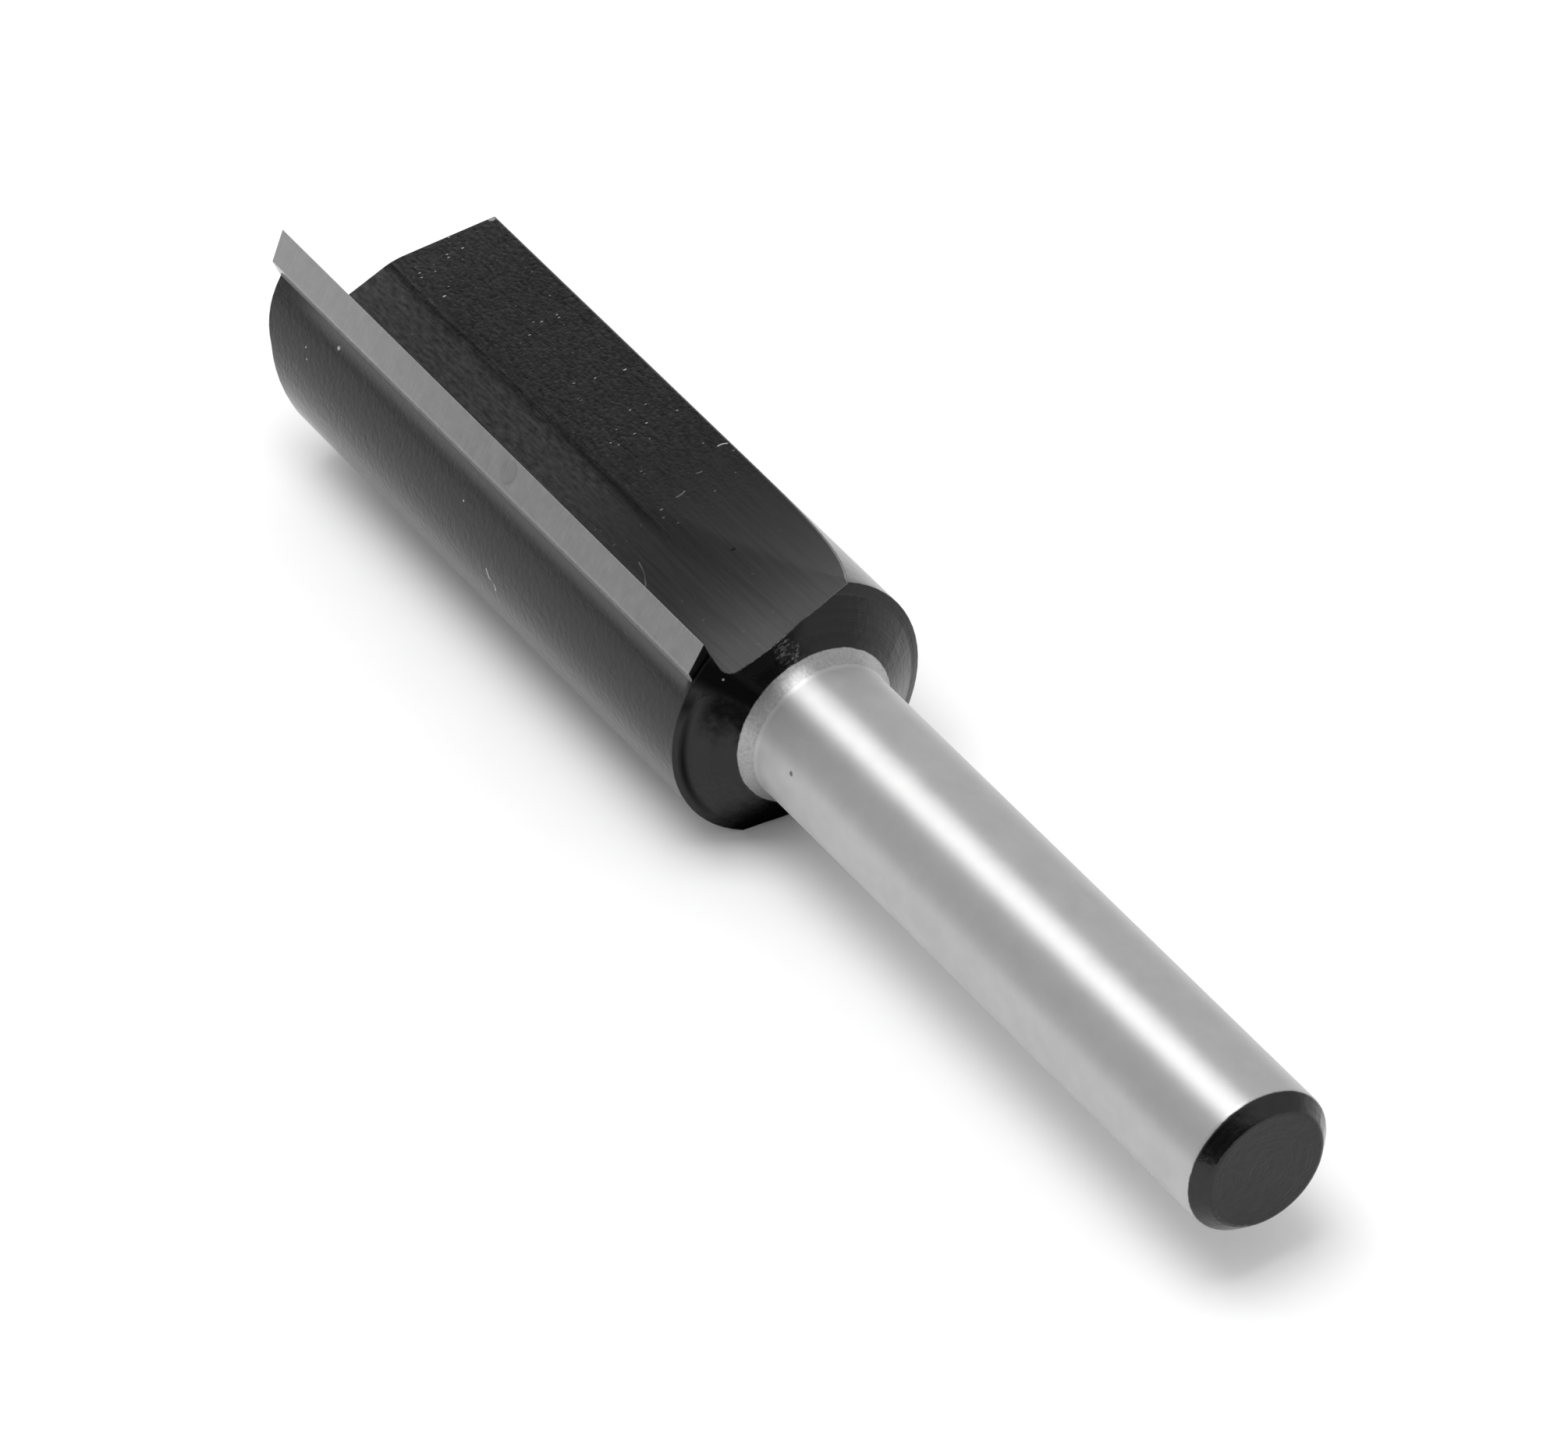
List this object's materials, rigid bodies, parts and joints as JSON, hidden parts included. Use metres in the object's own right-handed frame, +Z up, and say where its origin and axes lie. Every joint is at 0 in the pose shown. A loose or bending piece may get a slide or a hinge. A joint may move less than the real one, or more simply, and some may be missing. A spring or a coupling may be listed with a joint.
{
  "type": "straight router bit",
  "caption": "Straight flute router cutter with a plain round shank, black coated body and brazed carbide cutting tips, lying at rest.",
  "frame": {"origin": "on the resting surface, under the tool axis, halfway between the carbide tips' ends and the shank's end face", "axes": "+X along the tool axis towards the shank's end, +Z up, +Y across the tool"},
  "size_m": [0.0654, 0.0114, 0.0101],
  "materials": {
    "bar": "satin black coating on the fluted body and the shank's end, ground bright steel on the shank",
    "carbide": "ground cemented carbide, matte grey",
    "braze": "thin silver braze line, darkened"
  },
  "bodies": {
    "root": {"fluted_bar": "bar", "carbide_tip_a": "carbide", "carbide_tip_b": "carbide", "braze_a": "braze", "braze_b": "braze"}
  },
  "joints": []
}
